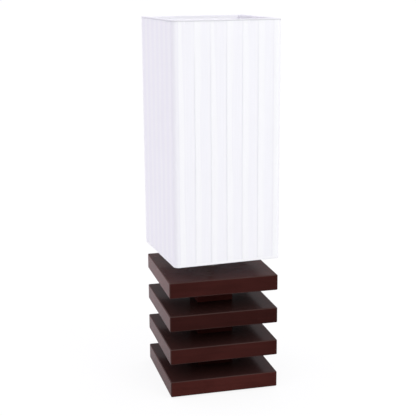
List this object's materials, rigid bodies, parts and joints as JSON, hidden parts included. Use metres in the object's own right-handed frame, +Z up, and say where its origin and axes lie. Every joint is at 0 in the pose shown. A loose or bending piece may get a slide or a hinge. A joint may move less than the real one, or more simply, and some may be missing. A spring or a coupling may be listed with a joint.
{
  "type": "column table lamp",
  "caption": "Table lamp with a column of stacked square wooden slabs and a tall square pleated shade, open at both ends, over a screw-base bulb.",
  "frame": {"origin": "on the table plane, under the centre of the square base", "axes": "+Z up along the pipe, -Y the front of the slabs, +Y the side where the cord leaves, +X the right side, where the switch knob points"},
  "size_m": [0.1592, 0.1592, 0.504],
  "materials": {
    "dark_wood": "dark red-brown stained wood under clear gloss lacquer",
    "black_plastic": "black moulded plastic, satin",
    "rubber": "black soft rubber, matt",
    "fibre_board": "black pressed fibre board, matt",
    "nickel": "bright nickel plate",
    "zinc_steel": "zinc plated steel",
    "porcelain": "cream glazed insulating block",
    "brass": "bare brass",
    "aluminium": "pressed aluminium",
    "white_wire": "white powder coat",
    "white_liner": "white translucent sheet",
    "white_fabric": "white woven fabric, pleated",
    "solder": "dull solder",
    "black_glass": "black insulating glass",
    "bulb_metal": "nickel plated thread",
    "frosted_glass": "frosted white glass"
  },
  "bodies": {
    "base": {"base_slab": "dark_wood", "second_slab": "dark_wood", "third_slab": "dark_wood", "top_slab": "dark_wood", "lower_spacer": "dark_wood", "middle_spacer": "dark_wood", "upper_spacer": "dark_wood", "cord_bushing": "black_plastic", "rubber_feet": "rubber", "base_cover": "fibre_board", "threaded_pipe": "nickel", "bottom_washer": "zinc_steel", "bottom_nut": "zinc_steel", "top_washer": "nickel", "top_nut": "nickel", "holder_nut": "nickel", "lampholder_cap": "black_plastic", "lampholder_shell": "black_plastic", "lampholder_insulator": "porcelain", "terminal_screws": "brass", "screw_shell": "aluminium", "center_contact": "brass"},
    "switch": {"switch_shaft": "brass", "switch_knob": "black_plastic"},
    "ring": {"shade_ring": "black_plastic"},
    "shade": {"shade_fitter": "white_wire", "shade_top_wire": "white_wire", "shade_liner": "white_liner", "shade_cover": "white_fabric", "top_binding": "white_fabric", "bottom_binding": "white_fabric"},
    "bulb": {"bulb_tip": "solder", "bulb_insulator": "black_glass", "bulb_cap": "bulb_metal", "bulb_glass": "frosted_glass"}
  },
  "joints": [
    {"name": "switch_turn", "type": "hinge", "parent": "base", "child": "switch", "pos_m": [0.03, 0, 0.227], "axis": [1, 0, 0], "continuous": true},
    {"name": "shade_lift", "type": "slide", "parent": "base", "child": "ring", "axis": [0, 0, 1], "range_m": [0, 0.2]},
    {"name": "shade_swivel", "type": "hinge", "parent": "ring", "child": "shade", "pos_m": [0, 0, 0.236], "axis": [0, 0, 1], "continuous": true},
    {"name": "bulb_lift", "type": "slide", "parent": "base", "child": "bulb", "axis": [0, 0, 1], "range_m": [0, 0.27]}
  ]
}
